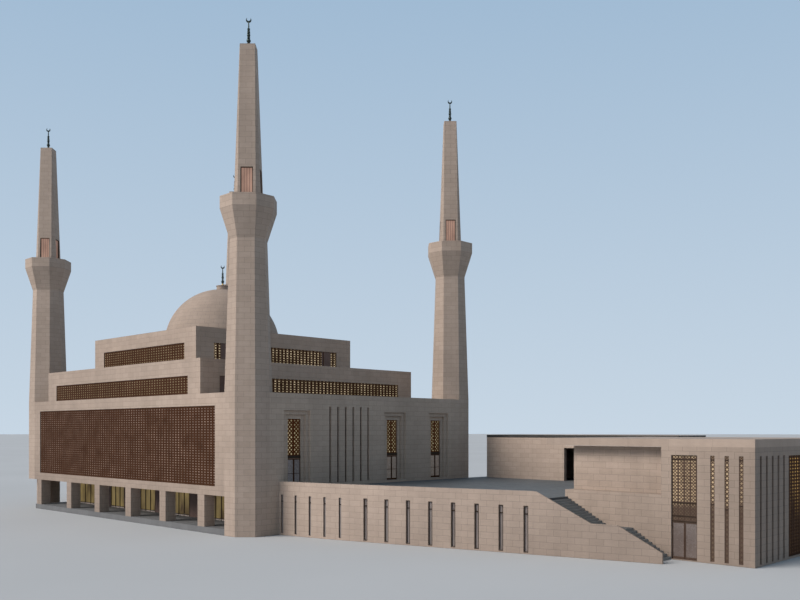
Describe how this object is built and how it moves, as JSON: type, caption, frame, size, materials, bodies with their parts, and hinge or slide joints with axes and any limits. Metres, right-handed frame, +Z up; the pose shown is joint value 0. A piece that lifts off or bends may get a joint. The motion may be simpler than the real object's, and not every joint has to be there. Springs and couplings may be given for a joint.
{
  "type": "mosque building, scale model 1:2",
  "caption": "Stepped prayer hall with dome, corner minarets, glazed arcade, raised court with outside stair, and low entrance building; half-size scale model.",
  "frame": {"origin": "on the ground under the dome's axis, in the underside of the hall's ground slab", "axes": "+X along the front facade from the hall towards the court and the entrance building, +Y from the front facade to the back, +Z up"},
  "size_m": [38.0193, 17.4243, 20.95],
  "materials": {
    "stone_wall": "honed beige stone panels",
    "stone_roof": "pale roof finish",
    "stone_minaret": "honed beige stone",
    "stone_paving": "grey stone paving",
    "concrete_floor": "plain floor slab",
    "dome_shell": "smooth pale stone dome",
    "bronze_screen": "dark bronze lattice",
    "window_glass": "warm lit glazing",
    "door_metal": "grey brown metal and glass",
    "finial_metal": "dark green grey metal"
  },
  "bodies": {
    "building": {"minaret_near_corner_shaft": "stone_minaret", "minaret_near_corner_spire": "stone_minaret", "minaret_near_corner_finial": "finial_metal", "minaret_front_left_shaft": "stone_minaret", "minaret_front_left_spire": "stone_minaret", "minaret_front_left_finial": "finial_metal", "minaret_back_right_shaft": "stone_minaret", "minaret_back_right_spire": "stone_minaret", "minaret_back_right_finial": "finial_metal", "minaret_back_left_shaft": "stone_minaret", "minaret_back_left_spire": "stone_minaret", "minaret_back_left_finial": "finial_metal", "hall_ground_slab": "stone_paving", "front_arcade": "stone_wall", "hall_floor_slab": "concrete_floor", "ground_glazing": "window_glass", "front_wall": "stone_wall", "back_wall": "stone_wall", "front_screen": "bronze_screen", "back_screen": "bronze_screen", "left_wall": "stone_wall", "right_wall_base": "stone_wall", "right_wall_pier_1": "stone_wall", "right_wall_pier_2": "stone_wall", "right_wall_pier_3": "stone_wall", "right_wall_pier_4": "stone_wall", "right_wall_head": "stone_wall", "portal_screen_1": "bronze_screen", "portal_screen_2": "bronze_screen", "portal_screen_3": "bronze_screen", "tier1_roof": "stone_roof", "tier2_walls": "stone_wall", "tier2_roof": "stone_roof", "tier3_walls": "stone_wall", "tier2_window_band": "window_glass", "tier3_window_band": "window_glass", "tier3_roof": "stone_roof", "dome": "dome_shell", "dome_finial": "finial_metal", "court_wall": "stone_wall", "court_deck": "stone_paving", "court_back_wall": "stone_wall", "lower_floor": "stone_paving", "rear_wing_walls": "stone_wall", "rear_wing_roof": "stone_roof", "court_stair": "stone_paving", "annex_front_wall": "stone_wall", "annex_right_wall": "stone_wall", "annex_back_left_wall": "stone_wall", "annex_roof": "stone_roof", "annex_portal_screen": "bronze_screen", "annex_side_screen": "bronze_screen"},
    "portal_door_1_left": {"portal_door_1_left": "door_metal"},
    "portal_door_1_right": {"portal_door_1_right": "door_metal"},
    "portal_door_2_left": {"portal_door_2_left": "door_metal"},
    "portal_door_2_right": {"portal_door_2_right": "door_metal"},
    "portal_door_3_left": {"portal_door_3_left": "door_metal"},
    "portal_door_3_right": {"portal_door_3_right": "door_metal"},
    "annex_door_left": {"annex_door_left": "door_metal"},
    "annex_door_right": {"annex_door_right": "door_metal"}
  },
  "joints": [
    {"name": "portal_door_1_left_hinge", "type": "hinge", "parent": "building", "child": "portal_door_1_left", "pos_m": [9.99, -3.649, 1.95], "axis": [0, 0, -1], "range_deg": [0, 90]},
    {"name": "portal_door_1_right_hinge", "type": "hinge", "parent": "building", "child": "portal_door_1_right", "pos_m": [9.99, -2.991, 1.95], "axis": [0, 0, 1], "range_deg": [0, 90]},
    {"name": "portal_door_2_left_hinge", "type": "hinge", "parent": "building", "child": "portal_door_2_left", "pos_m": [9.99, 2.096, 1.95], "axis": [0, 0, -1], "range_deg": [0, 90]},
    {"name": "portal_door_2_right_hinge", "type": "hinge", "parent": "building", "child": "portal_door_2_right", "pos_m": [9.99, 2.754, 1.95], "axis": [0, 0, 1], "range_deg": [0, 90]},
    {"name": "portal_door_3_left_hinge", "type": "hinge", "parent": "building", "child": "portal_door_3_left", "pos_m": [9.99, 5.081, 1.95], "axis": [0, 0, -1], "range_deg": [0, 90]},
    {"name": "portal_door_3_right_hinge", "type": "hinge", "parent": "building", "child": "portal_door_3_right", "pos_m": [9.99, 5.739, 1.95], "axis": [0, 0, 1], "range_deg": [0, 90]},
    {"name": "annex_door_left_hinge", "type": "hinge", "parent": "building", "child": "annex_door_left", "pos_m": [24.856, 0.6, 0.03], "axis": [0, 0, -1], "range_deg": [0, 90]},
    {"name": "annex_door_right_hinge", "type": "hinge", "parent": "building", "child": "annex_door_right", "pos_m": [25.709, 0.6, 0.03], "axis": [0, 0, 1], "range_deg": [0, 90]}
  ]
}
